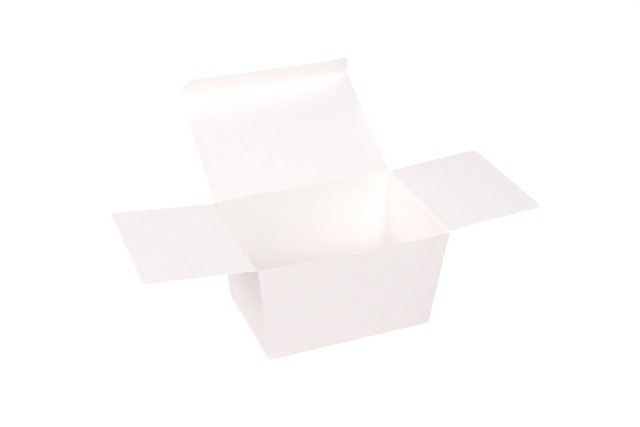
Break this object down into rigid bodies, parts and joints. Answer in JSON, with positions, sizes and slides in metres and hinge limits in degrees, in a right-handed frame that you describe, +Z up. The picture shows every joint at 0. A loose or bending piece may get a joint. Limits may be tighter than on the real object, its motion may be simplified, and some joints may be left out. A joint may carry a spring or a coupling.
{
  "type": "praline box",
  "caption": "Small tapered folding-carton box with a tuck-in lid hinged at the back and side flaps, shown open, empty and unprinted.",
  "frame": {"origin": "centre of the base underside, on the surface that the box stands on", "axes": "+Z up, -Y towards the front wall, +X towards the right side flap, seen from the front"},
  "size_m": [0.2409, 0.1547, 0.1196],
  "materials": {
    "carton_board": "matte"
  },
  "bodies": {
    "box_body": {"box_body": "carton_board"},
    "lid": {"lid": "carton_board"},
    "tuck_flap": {"tuck_flap": "carton_board"},
    "left_flap": {"left_flap": "carton_board"},
    "right_flap": {"right_flap": "carton_board"}
  },
  "joints": [
    {"name": "lid_crease", "type": "hinge", "parent": "box_body", "child": "lid", "pos_m": [0, 0.04125, 0.06578], "axis": [1, 0, 0], "range_deg": [-48.5, 151.5]},
    {"name": "tuck_crease", "type": "hinge", "parent": "lid", "child": "tuck_flap", "pos_m": [0, 0.11311, 0.10479], "axis": [1, 0, 0], "range_deg": [-97, 8]},
    {"name": "left_crease", "type": "hinge", "parent": "box_body", "child": "left_flap", "pos_m": [-0.05769, 0, 0.06513], "axis": [0, 1, 0], "range_deg": [-25, 175.8]},
    {"name": "right_crease", "type": "hinge", "parent": "box_body", "child": "right_flap", "pos_m": [0.05769, 0, 0.06513], "axis": [0, -1, 0], "range_deg": [-23.4, 176.6]}
  ]
}
